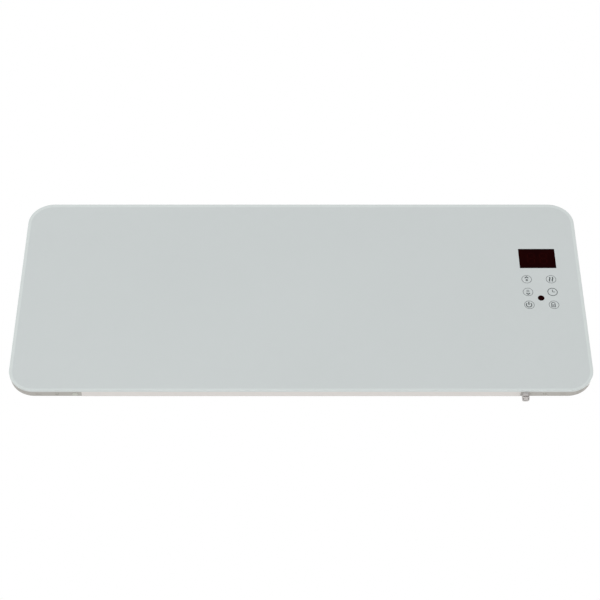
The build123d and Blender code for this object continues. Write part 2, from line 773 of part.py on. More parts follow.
def control_partition():
    """Steel wall between the warm chamber and the control compartment."""
    wall = block((WALL_X, WALL_X + SHEET), (WALL_GAP + WALL_CLEAR, EDGE_BACK), WALL_Z)
    wall += block((WALL_X, TRAY_X), (EDGE_BACK - SHEET, EDGE_BACK), WALL_Z)
    for out, z in grommet_places():
        wall -= pin_along(out, z, WALL_X, WALL_X + SHEET, GROMMET_R)
    return wall - pin_along(EARTH_OUT, EARTH_Z, WALL_X, WALL_X + SHEET, EARTH_R)


# ---- electronics -------------------------------------------------------------------------------


def power_screw_places():
    return [(x, z) for x in POWER_SCREW_X for z in POWER_SCREW_Z]


def touch_screw_places():
    return [(x, z) for x in TOUCH_SCREW_X for z in TOUCH_SCREW_Z]


def power_board():
    board = block(POWER_X, (POWER_BACK, POWER_FRONT), POWER_Z)
    return board - screw_holes(power_screw_places(), POWER_BACK, POWER_FRONT, POWER_SCREW_R)


def board_standoffs():
    posts = []
    for x, z in power_screw_places():
        post = pin_out(x, z, POWER_FRONT, EDGE_BACK, STANDOFF_R)
        posts.append(post - pin_out(x, z, POWER_FRONT, EDGE_BACK, POWER_SCREW_R))
    return group(posts)


def power_board_screws():
    return screws_out(power_screw_places(), POWER_BACK, EDGE_BACK - SHEET, POWER_SCREW_R)


def relay():
    box = block(RELAY_X, (POWER_BACK - RELAY_T, POWER_BACK), RELAY_Z)
    return chamfer(box.faces().sort_by(Axis.Y)[-1].edges(), CASE_EASE)


def transformer():
    """Small encapsulated mains transformer: potted block with a raised lid."""
    back = POWER_BACK - COIL_T
    lid_x = (COIL_X[0] + COIL_LID, COIL_X[1] - COIL_LID)
    lid_z = (COIL_Z[0] + COIL_LID, COIL_Z[1] - COIL_LID)
    return block(COIL_X, (back, POWER_BACK), COIL_Z) + block(lid_x, (back - COIL_LID, back), lid_z)


def filter_capacitor():
    can = pin_out(CAN_X, CAN_Z, POWER_BACK - CAN_T, POWER_BACK, CAN_R)
    return chamfer(can.faces().sort_by(Axis.Y)[-1].edges(), CASE_EASE)


def terminal_block():
    """Three-way block above the gland, where the mains wires are clamped."""
    low, high = TERMINAL_Z
    back = POWER_BACK - TERMINAL_T
    middle = POWER_BACK - TERMINAL_T / 2
    body_x = (TERMINAL_X[0] - TERMINAL_EDGE, TERMINAL_X[-1] + TERMINAL_EDGE)
    body = block(body_x, (back, POWER_BACK), TERMINAL_Z)
    for x in TERMINAL_X:
        body -= pin_up(x, middle, low, high - TERMINAL_END, WIRE_HOLE_R)
        body -= pin_out(x, (low + high) / 2, back, middle, WIRE_HOLE_R)
    return body


def touch_board():
    board = block(TOUCH_X, (TOUCH_BACK, TOUCH_FRONT), TOUCH_Z)
    return board - screw_holes(touch_screw_places(), TOUCH_BACK, TOUCH_FRONT, TOUCH_SCREW_R)


def touch_board_screws():
    screws = []
    for x, z in touch_screw_places():
        head = pin_out(x, z, TOUCH_FRONT, TOUCH_FRONT + TOUCH_SCREW_R, 2 * TOUCH_SCREW_R)
        screws.append(head + pin_out(x, z, EDGE_BACK + SHEET, TOUCH_FRONT, TOUCH_SCREW_R))
    return group(screws)


def touch_pads():
    """Conductive foam pad between the board and the glass at each key."""
    places = [(x, z) for x in KEY_COLUMNS for z in KEY_ROWS]
    return group(pin_out(x, z, TOUCH_FRONT, GLASS_BACK, KEY_PAD_R) for x, z in places)


def led_display():
    x = (WINDOW_X[0] + WINDOW_LAP, WINDOW_X[1] - WINDOW_LAP)
    z = (WINDOW_Z[0] + WINDOW_LAP, WINDOW_Z[1] - WINDOW_LAP)
    return block(x, (TOUCH_FRONT, FILM_BACK), z)


def display_filter():
    x = (WINDOW_X[0] - WINDOW_LAP, WINDOW_X[1] + WINDOW_LAP)
    z = (WINDOW_Z[0] - WINDOW_LAP, WINDOW_Z[1] + WINDOW_LAP)
    return block(x, (FILM_BACK, GLASS_BACK), z)


def ir_receiver():
    shoulder = TOUCH_FRONT + EYE_BODY
    base = block(around(EYE_X, EYE_BODY), (TOUCH_FRONT, shoulder), around(EYE_Z, EYE_BODY))
    return base + pin_out(EYE_X, EYE_Z, shoulder, FILM_BACK, EYE_DOME_R)


def ir_filter():
    return pin_out(EYE_X, EYE_Z, FILM_BACK, GLASS_BACK, EYE_R + EYE_LAP)


def board_header():
    """Pin strip that joins the two boards through the end cap."""
    return block(HEADER_X, (POWER_FRONT, TOUCH_BACK), HEADER_Z)


# ---- main switch -------------------------------------------------------------------------------


def switch_body():
    outer = block(
        (COVER_X - SWITCH_DEEP, COVER_X),
        around(SWITCH_OUT, SWITCH_BODY_OUT),
        around(SWITCH_Z, SWITCH_BODY_Z),
    )
    bezel = block(
        (COVER_X, COVER_X + BEZEL_T),
        around(SWITCH_OUT, SWITCH_BODY_OUT + BEZEL),
        around(SWITCH_Z, SWITCH_BODY_Z + BEZEL),
    )
    bezel = fillet(bezel.edges().filter_by(Axis.X), BEZEL_R)
    well_x = (ROCKER_PIVOT_X - WELL_DEEP, COVER_X + BEZEL_T)
    well = block(well_x, around(SWITCH_OUT, WELL_OUT), around(SWITCH_Z, WELL_Z))
    journal_out = around(SWITCH_OUT, TRUNNION_OUT + RUNNING_GAP)
    journal = pin_out(ROCKER_PIVOT_X, SWITCH_Z, *journal_out, TRUNNION_R + RUNNING_GAP)
    return outer + bezel - well - journal


def switch_rocker():
    """Rocker with a shallow V face, at rest with its upper end standing out."""
    face = Polygon(*ROCKER_PROFILE, align=None)
    turned = Pos(ROCKER_PIVOT_X, SWITCH_Z) * Rot(0, 0, -ROCKER_TILT) * face
    rocker = slab(turned, *around(SWITCH_OUT, ROCKER_OUT))
    return rocker + pin_out(ROCKER_PIVOT_X, SWITCH_Z, *around(SWITCH_OUT, TRUNNION_OUT), TRUNNION_R)


def switch_terminals():
    back = COVER_X - SWITCH_DEEP
    x = (back - SPADE_L, back)
    out = around(SWITCH_OUT, SPADE_HALF_T)
    heights = (SWITCH_Z - SPADE_SHIFT, SWITCH_Z + SPADE_SHIFT)
    return group(block(x, out, around(z, SPADE_HALF_W)) for z in heights)


# ---- cord gland and earth ----------------------------------------------------------------------


def hexagon(across, z0, z1):
    flat = RegularPolygon(across / 2, 6, major_radius=False)
    return extrude(Plane.XY.offset(z0) * Pos(GLAND_X, -GLAND_OUT) * flat, z1 - z0)


def cord_gland():
    ends = (COVER_LOW - GLAND_REACH, COVER_LOW + GLAND_INSIDE)
    body = hexagon(GLAND_HEX, COVER_LOW - GLAND_COLLAR_T, COVER_LOW)
    body += pin_up(GLAND_X, GLAND_OUT, *ends, GLAND_THREAD_R)
    return body - pin_up(GLAND_X, GLAND_OUT, *ends, GLAND_BORE_R)


def gland_cap():
    """Dome nut that squeezes the seal round the cord."""
    end = COVER_LOW - GLAND_CAP_REACH
    thread_end = COVER_LOW - GLAND_REACH
    collar = COVER_LOW - GLAND_COLLAR_T
    cap = hexagon(GLAND_NUT_HEX, end, collar)
    cap = fillet(cap.faces().sort_by(Axis.Z)[0].edges(), GLAND_CAP_ROUND)
    cap -= pin_up(GLAND_X, GLAND_OUT, thread_end, collar, GLAND_THREAD_R)
    return cap - pin_up(GLAND_X, GLAND_OUT, end, thread_end, GLAND_BORE_R)


def gland_locknut():
    ends = (COVER_LOW + SHEET, COVER_LOW + SHEET + GLAND_NUT_T)
    return hexagon(GLAND_NUT_HEX, *ends) - pin_up(GLAND_X, GLAND_OUT, *ends, GLAND_THREAD_R)


def earth_stud():
    stud = pin_along(EARTH_OUT, EARTH_Z, WALL_X, WALL_X + EARTH_L, EARTH_R)
    return stud + pin_along(EARTH_OUT, EARTH_Z, WALL_X - EARTH_HEAD_T, WALL_X, EARTH_HEAD_R)


def earth_nut():
    flat = RegularPolygon(EARTH_HEAD_R, 6, major_radius=False) - Circle(EARTH_R)
    seat = WALL_X + SHEET
    return rail(Pos(-EARTH_OUT, EARTH_Z) * flat, seat, seat + EARTH_NUT_T)


# ---- wiring ------------------------------------------------------------------------------------


def grommet_places():
    return [(HEAT_OUT, HEAT_Z), (LEAD_OUT, HOT_LEAD_Z)]


def lead_grommet(out, z):
    """Rubber ring that guards a wire where it passes the partition."""
    ends = (WALL_X - GROMMET_LIP_T, WALL_X + SHEET + GROMMET_LIP_T)
    ring = pin_along(out, z, *ends, GROMMET_R)
    for low in (ends[0], WALL_X + SHEET):
        ring += pin_along(out, z, low, low + GROMMET_LIP_T, GROMMET_LIP_R)
    return ring - pin_along(out, z, *ends, LEAD_R)


def lead_grommets():
    return group(lead_grommet(out, z) for out, z in grommet_places())


def socket(x, z):
    return block((x, x + SOCKET_SIZE), (POWER_BACK - SOCKET_T, POWER_BACK), around(z, SOCKET_SIZE / 2))


def lead_sockets():
    """Push-on sockets where the wires meet the two boards."""
    places = [(SOCKET_X, HEAT_Z), (SOCKET_X, HOT_LEAD_Z)] + [(x, SWITCH_SOCKET_Z) for x in SWITCH_SOCKETS]
    depth = (TOUCH_FRONT, TOUCH_FRONT + PROBE_SOCKET_T)
    probe = block(around(PROBE_SOCKET_X, PROBE_SOCKET_HALF), depth, PROBE_SOCKET_Z)
    return group([socket(x, z) for x, z in places] + [probe])


def switch_lead(which, spade_z, name):
    """Wire that rises from a socket of the power board and turns to a spade of the switch."""
    x = SWITCH_SOCKETS[which] + SOCKET_SIZE / 2
    top = SWITCH_SOCKET_Z + SOCKET_SIZE / 2
    points = [
        (x, LEAD_OUT, top),
        (x, LEAD_OUT, top + SWITCH_LEAD_RISES[which]),
        (x, SWITCH_OUT, spade_z),
        (COVER_X - SWITCH_DEEP - SPADE_L, SWITCH_OUT, spade_z),
    ]
    return lead(points, SWITCH_LEAD_BENDS[which], THIN_LEAD_R, name)


def switch_leads():
    upper = switch_lead(0, SWITCH_Z + SPADE_SHIFT, "upper switch lead")
    lower = switch_lead(1, SWITCH_Z - SPADE_SHIFT, "lower switch lead")
    return group([upper, lower])


def element_lead_right():
    start = CORE_X + COLLAR_L + STUD_L
    points = [
        (start, HEAT_OUT, HEAT_Z),
        (WALL_X + LEAD_PAST_WALL, HEAT_OUT, HEAT_Z),
        (SOCKET_X - LEAD_TO_SOCKET, LEAD_OUT, HEAT_Z),
        (SOCKET_X, LEAD_OUT, HEAT_Z),
    ]
    return lead(points, RIGHT_LEAD_BENDS, LEAD_R, "right element lead")


def element_lead_left():
    """Long wire from the far end, through the cut-out and the fuse, back to the power board."""
    start = -(CORE_X + COLLAR_L + STUD_L)
    turn = start - LEAD_LOOP
    points = [
        (start, HEAT_OUT, HEAT_Z),
        (turn, HEAT_OUT, HEAT_Z),
        (turn, LEAD_OUT, HOT_LEAD_Z),
        (CUTOUT_X - CUTOUT_ARM, LEAD_OUT, HOT_LEAD_Z),
    ]
    long_run = lead(points, LEFT_LEAD_BENDS, LEAD_R, "long element lead")
    link = pin_along(LEAD_OUT, HOT_LEAD_Z, CUTOUT_X + CUTOUT_ARM, FUSE_X - FUSE_L / 2, LEAD_R)
    tail = pin_along(LEAD_OUT, HOT_LEAD_Z, FUSE_X + FUSE_L / 2, SOCKET_X, LEAD_R)
    return group([long_run, link, tail])


def probe_lead():
    """Thin wire from the thermistor up inside the right cap to the touch board."""
    bead_top = -EDGE_H / 2 - PROBE_DROP + PROBE_TIP_T + BEAD_L
    out = TOUCH_FRONT + PROBE_SOCKET_T / 2
    points = [
        (PROBE_X, PROBE_OUT, bead_top),
        (PROBE_X, PROBE_OUT, PROBE_LEAD_TURNS[0]),
        (PROBE_SOCKET_X, out, PROBE_LEAD_TURNS[1]),
        (PROBE_SOCKET_X, out, PROBE_SOCKET_Z[0]),
    ]
    return lead(points, PROBE_LEAD_BENDS, PROBE_LEAD_R, "probe lead")


def lead_clip(x):
    ends = around(x, LEAD_CLIP_HALF_X)
    clip = block(ends, (LEAD_OUT - 2 * LEAD_R, FOIL_OUT), around(HOT_LEAD_Z, LEAD_CLIP_HALF_Z))
    return clip - pin_along(LEAD_OUT, HOT_LEAD_Z, *ends, LEAD_R)


def lead_clips():
    return group(lead_clip(x) for x in LEAD_CLIP_X)


# ---- wall bracket ------------------------------------------------------------------------------


def hook(top):
    """Tab that reaches through a slot of the cover and turns up behind it."""
    inner = WALL_GAP + SHEET + HOOK_GAP
    tab = block((-HOOK_W / 2, HOOK_W / 2), (0.0, inner + BRACKET_T), (top - BRACKET_T, top))
    lip = block((-HOOK_W / 2, HOOK_W / 2), (inner, inner + BRACKET_T), (top - BRACKET_T, top + HOOK_LIP))
    return tab + chamfer(lip.edges().filter_by(Axis.X).sort_by(Axis.Z)[-2:], HOOK_EASE)


def wall_bracket(side):
    """Upright steel channel with two wall holes and two hooks."""
    plate = slab(RectangleRounded(BRACKET_W, BRACKET_H, BRACKET_R), 0.0, BRACKET_T)
    rim_z = around(0, BRACKET_H / 2 - BRACKET_R)
    for edge in (-1, 1):
        rim_x = sorted((edge * (BRACKET_W / 2 - BRACKET_T), edge * BRACKET_W / 2))
        plate += block(rim_x, (0.0, BRACKET_RIM), rim_z)
    for top in HOOK_TOPS:
        plate += hook(top)
    for z in (-SCREW_PITCH_Z / 2, SCREW_PITCH_Z / 2):
        plate -= pin_out(0.0, z, 0.0, BRACKET_T, SCREW_HOLE_R)
    return Pos(side * SCREW_PITCH_X / 2, 0, 0) * plate


def bracket_tie_bar():
    """Flat bar between the two channels, with a folded lower edge."""
    reach = (SCREW_PITCH_X - BRACKET_W) / 2
    bar = block((-reach, reach), (0.0, BRACKET_T), (-TIE_HALF, TIE_HALF))
    return bar + block((-reach, reach), (0.0, TIE_FOLD), (-TIE_HALF, BRACKET_T - TIE_HALF))


NODES = {
    "glass_front": glass_front,
    "glass_bond_strips": glass_bond_strips,
    "front_tray": front_tray,
    "left_end_cap": left_end_cap,
    "right_end_cap": right_end_cap,
    "end_cap_screws": end_cap_screws,
    "blanking_plug": blanking_plug,
    "sensor_probe_shell": sensor_probe_shell,
    "sensor_probe_clip": sensor_probe_clip,
    "thermistor": thermistor,
    "insulation_board": insulation_board,
    "heat_reflector": heat_reflector,
    "heating_element": heating_element,
    "element_core": element_core,
    "element_terminals": element_terminals,
    "element_holders": element_holders,
    "element_bushes": element_bushes,
    "holder_screws": holder_screws,
    "thermal_cutout": thermal_cutout,
    "thermal_fuse": thermal_fuse,
    "control_partition": control_partition,
    "rear_cover": rear_cover,
    "rear_cover_screws": rear_cover_screws,
    "outlet_grille": outlet_grille,
    "wall_spacers": wall_spacers,
    "power_board": power_board,
    "board_standoffs": board_standoffs,
    "power_board_screws": power_board_screws,
    "relay": relay,
    "transformer": transformer,
    "filter_capacitor": filter_capacitor,
    "terminal_block": terminal_block,
    "touch_board": touch_board,
    "touch_board_screws": touch_board_screws,
    "touch_pads": touch_pads,
    "led_display": led_display,
    "display_filter": display_filter,
    "ir_receiver": ir_receiver,
    "ir_filter": ir_filter,
    "board_header": board_header,
    "switch_body": switch_body,
    "switch_rocker": switch_rocker,
    "switch_terminals": switch_terminals,
    "cord_gland": cord_gland,
    "gland_cap": gland_cap,
    "gland_locknut": gland_locknut,
    "earth_stud": earth_stud,
    "earth_nut": earth_nut,
    "lead_grommets": lead_grommets,
    "lead_sockets": lead_sockets,
    "switch_leads": switch_leads,
    "element_lead_right": element_lead_right,
    "element_lead_left": element_lead_left,
    "probe_lead": probe_lead,
    "lead_clips": lead_clips,
    "left_wall_bracket": lambda: wall_bracket(-1),
    "right_wall_bracket": lambda: wall_bracket(1),
    "bracket_tie_bar": bracket_tie_bar,
}

os.makedirs("parts", exist_ok=True)
for name, make in NODES.items():
    export_step(make(), f"parts/{name}.step")
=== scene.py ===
import json
import math

import bmesh
import bpy
from mathutils import Matrix, Vector


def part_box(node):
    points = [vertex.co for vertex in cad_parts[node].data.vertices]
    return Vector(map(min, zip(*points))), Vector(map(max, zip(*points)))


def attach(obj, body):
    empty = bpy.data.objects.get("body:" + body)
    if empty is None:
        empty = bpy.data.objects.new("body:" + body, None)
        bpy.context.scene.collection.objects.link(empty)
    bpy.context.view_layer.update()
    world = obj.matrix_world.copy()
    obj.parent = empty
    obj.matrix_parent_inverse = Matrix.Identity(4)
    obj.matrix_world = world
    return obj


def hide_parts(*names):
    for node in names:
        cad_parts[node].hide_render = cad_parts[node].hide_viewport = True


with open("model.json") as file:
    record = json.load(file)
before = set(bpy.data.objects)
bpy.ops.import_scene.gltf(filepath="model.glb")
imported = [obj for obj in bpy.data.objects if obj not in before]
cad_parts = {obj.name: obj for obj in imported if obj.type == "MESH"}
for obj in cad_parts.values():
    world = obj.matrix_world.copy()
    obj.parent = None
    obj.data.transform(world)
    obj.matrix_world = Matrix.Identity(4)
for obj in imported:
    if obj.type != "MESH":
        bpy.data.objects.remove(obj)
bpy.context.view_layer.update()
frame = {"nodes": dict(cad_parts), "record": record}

# Wall panel convector heater with a painted glass front. Metres; X to the viewer's right, Z up, and
# the glass faces -Y. Every piece has its place in its mesh, so Object coordinates are the frame's.

MM = 0.001

# Glass. Its prints stand a little proud of it, and its field is drawn a little low in its border
PRINT_PROUD = 0.06 * MM
GLASS_LOW, GLASS_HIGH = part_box("glass_front")
GLASS_W = GLASS_HIGH.x - GLASS_LOW.x
GLASS_H = GLASS_HIGH.z - GLASS_LOW.z
GLASS_R = 45 * MM
GLASS_FRONT = GLASS_LOW.y + PRINT_PROUD
GLASS_BACK = GLASS_HIGH.y
CORNER_STEPS = 24
BORDER = 5.7 * MM
BORDER_FALL = 0.1 * MM
BORDER_FADE = (-0.4 * MM, 0.6 * MM)
# Painted refraction: the field is drawn this much low, as thick glass seen from below shows its top
# edge
REFRACTION_DROP = 1.3 * MM
ARRIS = 0.5 * MM
ARRIS_SEGMENTS = 3
ARRIS_FADE = (-ARRIS, -0.1 * MM)
RIM_ANGLE = 0.6

# Prints on the glass
PRINT_FRONT = GLASS_LOW.y
PRINT_T = 0.1 * MM
ON_GLASS = Matrix.Translation((0.0, PRINT_FRONT, 0.0))
PADS_LOW, PADS_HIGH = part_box("touch_pads")
PAD_R = 6.0 * MM
KEY_COLUMNS = (PADS_LOW.x + PAD_R, PADS_HIGH.x - PAD_R)
KEY_ROWS = (PADS_HIGH.z - PAD_R, (PADS_HIGH.z + PADS_LOW.z) / 2, PADS_LOW.z + PAD_R)
KEY_R = 9.0 * MM
KEY_LINE = 0.75 * MM
CLOCK_RING_LINE = 1.25 * MM
BOLD_LINE = 2.0 * MM
WAVE_BEND = 60.0
FILTER_LOW, FILTER_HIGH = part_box("display_filter")
FILTER_LAP = 2.0 * MM
WINDOW_W = FILTER_HIGH.x - FILTER_LOW.x - 2 * FILTER_LAP
WINDOW_H = FILTER_HIGH.z - FILTER_LOW.z - 2 * FILTER_LAP
WINDOW = ((FILTER_HIGH.x + FILTER_LOW.x) / 2, (FILTER_HIGH.z + FILTER_LOW.z) / 2)
WINDOW_SINK = 0.02 * MM
EYE_LOW, EYE_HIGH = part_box("ir_filter")
EYE = ((EYE_HIGH.x + EYE_LOW.x) / 2, (EYE_HIGH.z + EYE_LOW.z) / 2)
EYE_LAP = 1.0 * MM
EYE_R = (EYE_HIGH.x - EYE_LOW.x) / 2 - EYE_LAP
EYE_SIDES = 48

# Icons, each measured from the middle of its key
TIP_RISE = 5.5 * MM
LEG = 3.1 * MM
BULB_DROP = 2.0 * MM
FULL_BULB_R, FULL_BULB_LINE = 1.4 * MM, 1.4 * MM
OPEN_BULB_R, OPEN_BULB_LINE = 2.0 * MM, 0.9 * MM
POWER_SHIFT, POWER_DROP = 0.6 * MM, 0.2 * MM
POWER_R, POWER_LINE = 4.8 * MM, 1.7 * MM
POWER_START, POWER_SWEEP = 130.0, 280.0
POWER_BAR = (-0.4 * MM, 6.4 * MM)
HEAT_SHIFT = 2.5 * MM
HEAT_RISE = 10.0 * MM
HAND_LINE = 1.15 * MM
LONG_HAND, SHORT_HAND = 5.2 * MM, 4.4 * MM
LOCK_SHIFT = 1.1 * MM
LOCK_HALF = 3.8 * MM
LOCK_LOW, LOCK_HIGH = -5.2 * MM, 0.5 * MM
LOCK_LINE = 1.2 * MM
KEYHOLE_HALF, KEYHOLE_LINE = 1.5 * MM, 1.1 * MM
BOW_R, BOW_RISE = 3.1 * MM, 1.7 * MM

# Display digits, seen faintly in the window while they are off
DIGIT_SHIFTS = (-11.0 * MM, 11.0 * MM)
DIGIT_W = 12.0 * MM
DIGIT_H = 24.0 * MM
SEGMENT_LINE = 2.2 * MM
SEGMENT_GAP = 0.5 * MM

# Marks on the main switch's rocker
ROCKER_PIVOT = (429.5 * MM, -40.0 * MM, 95.0 * MM)
ROCKER_TILT = 10.0
ROCKER_FACE_TILT = 7.5
ROCKER_MARK = (3.14 * MM, 3.9 * MM)
ROCKER_MARK_R = 1.5 * MM
ROCKER_MARK_LINE = 0.6 * MM

# Mesh work
ARC_STEP = 7.5
ARC_LEAST_STEPS = 6
MERGE_GAP = 0.001 * MM
CUT_GAP = 0.0001 * MM
WELD_GAP = 0.005 * MM
SHARP_ANGLE = math.radians(35)

# Camera and room
LENS = 100.36
SENSOR = 36.0
CAMERA_AT = (-1.9 * MM, -2411.4 * MM, -1838.2 * MM)
CAMERA_RISE = 38.09
CAMERA_FAR = 100.0
FLOOR_Z = -3.4
FLOOR_HALF = 20.0
FLOOR_GLOW = 0.55
WORLD_LIGHT = 0.62
WHITE = (1.0, 1.0, 1.0, 1.0)

# Lamps: place, width, watts, and whether glossy surfaces mirror them
LAMPS = {
    "front_lamp": ((-5.2, -4.8, 5.0), 3.2, 320.0, False),
    "low_lamp": ((0.4, -1.3, -3.0), 2.4, 30.0, True),
    "rear_lamp": ((1.5, 3.2, 1.8), 2.6, 60.0, True),
}


# ---- finishes ------------------------------------------------------------------------------------


class Value:
    """An output in a set of nodes. Sums on it add Math nodes."""

    def __init__(self, nodes, socket):
        self.nodes = nodes
        self.socket = socket

    def math(self, operation, first, second=0.0):
        return self.nodes.node("ShaderNodeMath", {"operation": operation}, {0: first, 1: second})

    def __add__(self, other):
        return self.math("ADD", self, other)

    def __radd__(self, other):
        return self.math("ADD", other, self)

    def __sub__(self, other):
        return self.math("SUBTRACT", self, other)

    def __rsub__(self, other):
        return self.math("SUBTRACT", other, self)

    def __mul__(self, other):
        return self.math("MULTIPLY", self, other)

    def __rmul__(self, other):
        return self.math("MULTIPLY", other, self)

    def __abs__(self):
        return self.math("ABSOLUTE", self)


class Nodes:
    """The nodes of one material or of the world."""

    def __init__(self, tree):
        self.tree = tree

    def feed(self, socket, value):
        if isinstance(value, Value):
            self.tree.links.new(value.socket, socket)
        else:
            socket.default_value = value

    def node(self, kind, settings=None, inputs=None, output=0):
        made = self.tree.nodes.new(kind)
        for name, setting in (settings or {}).items():
            setattr(made, name, setting)
        for key, value in (inputs or {}).items():
            self.feed(made.inputs[key], value)
        return Value(self, made.outputs[output])


class Finish(Nodes):
    """One procedural material, built up by calls on its Principled shader."""

    def __init__(self, name):
        self.material = bpy.data.materials.new(name)
        self.material.use_nodes = True
        super().__init__(self.material.node_tree)
        self.shader = self.tree.nodes["Principled BSDF"]
        self.place = self.node("ShaderNodeTexCoord", output="Object")

    def surface(self, **sockets):
        """Feeds the shader; an underscore in a name stands for a space."""
        for name, value in sockets.items():
            self.feed(self.shader.inputs[name.replace("_", " ")], value)
        return self.material

    def axis(self, name):
        return self.node("ShaderNodeSeparateXYZ", inputs={0: self.place}, output=name)

    def stretched(self, scale):
        return self.node("ShaderNodeMapping", inputs={"Vector": self.place, "Scale": scale})

    def noise(self, size, detail=2.0, place=None, rough=0.5):
        """Cloudy pattern whose patches are about size metres across."""
        inputs = {
            "Vector": place or self.place, "Scale": 1 / size, "Detail": detail, "Roughness": rough,
        }
        return self.node("ShaderNodeTexNoise", inputs=inputs)

    def cells(self, size, feature="F1", output="Distance"):
        """Cells about size metres across."""
        inputs = {"Vector": self.place, "Scale": 1 / size}
        return self.node("ShaderNodeTexVoronoi", {"feature": feature}, inputs, output)

    def step(self, value, low, high):
        """Smooth rise from 0 at low to 1 at high."""
        inputs = {"Value": value, "From Min": low, "From Max": high}
        return self.node("ShaderNodeMapRange", {"interpolation_type": "SMOOTHSTEP"}, inputs)

    def spread(self, value, low, high):
        """A noise's usual range, 0.3 to 0.7, spread from low to high."""
        inputs = {"Value": value, "From Min": 0.3, "From Max": 0.7, "To Min": low, "To Max": high}
        return self.node("ShaderNodeMapRange", inputs=inputs)

    def mix(self, factor, first, second):
        """Blend of two colours, from first at 0 to second at 1."""
        inputs = {0: factor, 6: first, 7: second}
        return self.node("ShaderNodeMix", {"data_type": "RGBA"}, inputs, output=2)

    def bump(self, height, depth):
        """Relief that is depth metres deep where height is 1."""
        inputs = {"Height": height, "Distance": depth, "Strength": 1.0}
        return self.node("ShaderNodeBump", inputs=inputs)


def linear(level):
    """Linear light of a screen level given in 0 to 255, by the sRGB curve."""
    return level / 255 / 12.92 if level <= 10 else ((level / 255 + 0.055) / 1.055) ** 2.4


def colour(red, green, blue):
    return (linear(red), linear(green), linear(blue), 1.0)


def shades(base, down, up):
    """A colour a little darker and a little lighter."""
    return (
        tuple(c * down for c in base[:3]) + (1.0,),
        tuple(min(1.0, c * up) for c in base[:3]) + (1.0,),
    )


def rim_distance(finish, drop=0.0):
    """Distance to the glass panel's outline, or to the same outline lowered; negative inside."""
    across = abs(finish.axis("X")) - (GLASS_W / 2 - GLASS_R)
    upward = abs(finish.axis("Z") + drop) - (GLASS_H / 2 - GLASS_R)
    across = across.math("MAXIMUM", across, 0.0)
    upward = upward.math("MAXIMUM", upward, 0.0)
    return across.math("SQRT", across * across + upward * upward) - GLASS_R


def painted_glass():
    """Polished glass with light grey-green paint on its back, and a lighter ground border."""
    finish = Finish("painted_glass")
    fade_low, fade_high = BORDER_FADE
    # The border mask uses the lowered outline: painted refraction that widens the top border and
    # narrows the bottom
    refracted_rim = rim_distance(finish, REFRACTION_DROP)
    border = finish.step(refracted_rim, -BORDER + fade_low, -BORDER + fade_high)
    edge = finish.step(rim_distance(finish), *ARRIS_FADE)
    low, high = colour(196, 202, 202), colour(198, 204, 204)
    field = finish.mix(finish.spread(finish.noise(0.35), 0, 1), low, high)
    body = finish.mix(border, field, colour(206, 213, 212))
    body = finish.mix(edge, body, colour(206, 212, 211))
    ripple = finish.bump(finish.noise(0.09, 1.0), 0.00006)
    haze = finish.spread(finish.noise(0.02, 3.0), 0.05, 0.09)
    rough = haze + edge * 0.3
    return finish.surface(
        Base_Color=body, Roughness=rough, Normal=ripple, IOR=1.52,
        Coat_Weight=(1 - edge) * 0.6, Coat_Roughness=0.02,
    )


def print_ink():
    """Dark grey ceramic ink under the glass's gloss."""
    finish = Finish("print_ink")
    speck = finish.noise(0.0006)
    tone = finish.mix(finish.spread(speck, 0, 1), colour(68, 73, 75), colour(80, 85, 87))
    rough = finish.spread(speck, 0.12, 0.22)
    return finish.surface(Base_Color=tone, Roughness=rough, Specular_IOR_Level=0.15)


def dark_window(name, low, high):
    """Nearly black red filter, a little cloudy in its depth."""
    finish = Finish(name)
    depth = finish.noise(0.02, 1.0)
    tone = finish.mix(finish.spread(depth, 0, 1), low, high)
    rough = finish.spread(depth, 0.06, 0.1)
    return finish.surface(Base_Color=tone, Roughness=rough, Specular_IOR_Level=0.01)


def powder_coat(name, base, grain, depth):
    """Baked powder paint: fine orange peel, slightly uneven sheen and a few dust specks."""
    finish = Finish(name)
    low, high = shades(base, 0.965, 1.03)
    broad = finish.noise(0.16, 3.0)
    peel = finish.noise(grain, 2.0, rough=0.6)
    pits = finish.cells(grain * 2.2)
    tone = finish.mix(finish.spread(broad * 0.7 + peel * 0.3, 0, 1), low, high)
    relief = finish.bump(peel * 0.75 + pits * 0.25, depth)
    rough = finish.spread(finish.noise(0.03, 4.0), 0.4, 0.54)
    return finish.surface(Base_Color=tone, Roughness=rough, Normal=relief, Specular_IOR_Level=0.42)


def moulded_plastic(name, base, grain=0.0009, depth=0.00012, dull=(0.46, 0.6)):
    """Injection-moulded plastic with a fine spark-eroded grain and faint flow marks."""
    finish = Finish(name)
    low, high = shades(base, 0.95, 1.04)
    flow = finish.noise(0.05, 3.0, finish.stretched((0.35, 1.0, 1.0)))
    grit = finish.noise(grain, 3.0, rough=0.65)
    tone = finish.mix(finish.spread(flow, 0, 1), low, high)
    rough = finish.spread(grit * 0.5 + flow * 0.5, *dull)
    return finish.surface(Base_Color=tone, Roughness=rough, Normal=finish.bump(grit, depth))


def zinc_plate(name, base, flake=0.009):
    """Galvanised steel: large soft spangles, streaks from rolling and a dull bloom."""
    finish = Finish(name)
    low, high = shades(base, 0.86, 1.1)
    spangle = finish.cells(flake, output="Color")
    spangle = finish.node("ShaderNodeSeparateColor", inputs={0: spangle})
    bloom = finish.noise(0.06, 4.0)
    streak = finish.noise(0.004, 2.0, finish.stretched((1.0, 1.0, 0.06)))
    tone = finish.mix(finish.spread(spangle * 0.35 + bloom * 0.35 + streak * 0.2, 0, 1), low, high)
    rough = finish.spread(spangle * 0.4 + bloom * 0.6, 0.3, 0.5)
    relief = finish.bump(streak * 0.6 + spangle * 0.4, 0.00002)
    return finish.surface(Base_Color=tone, Metallic=0.9, Roughness=rough, Normal=relief)


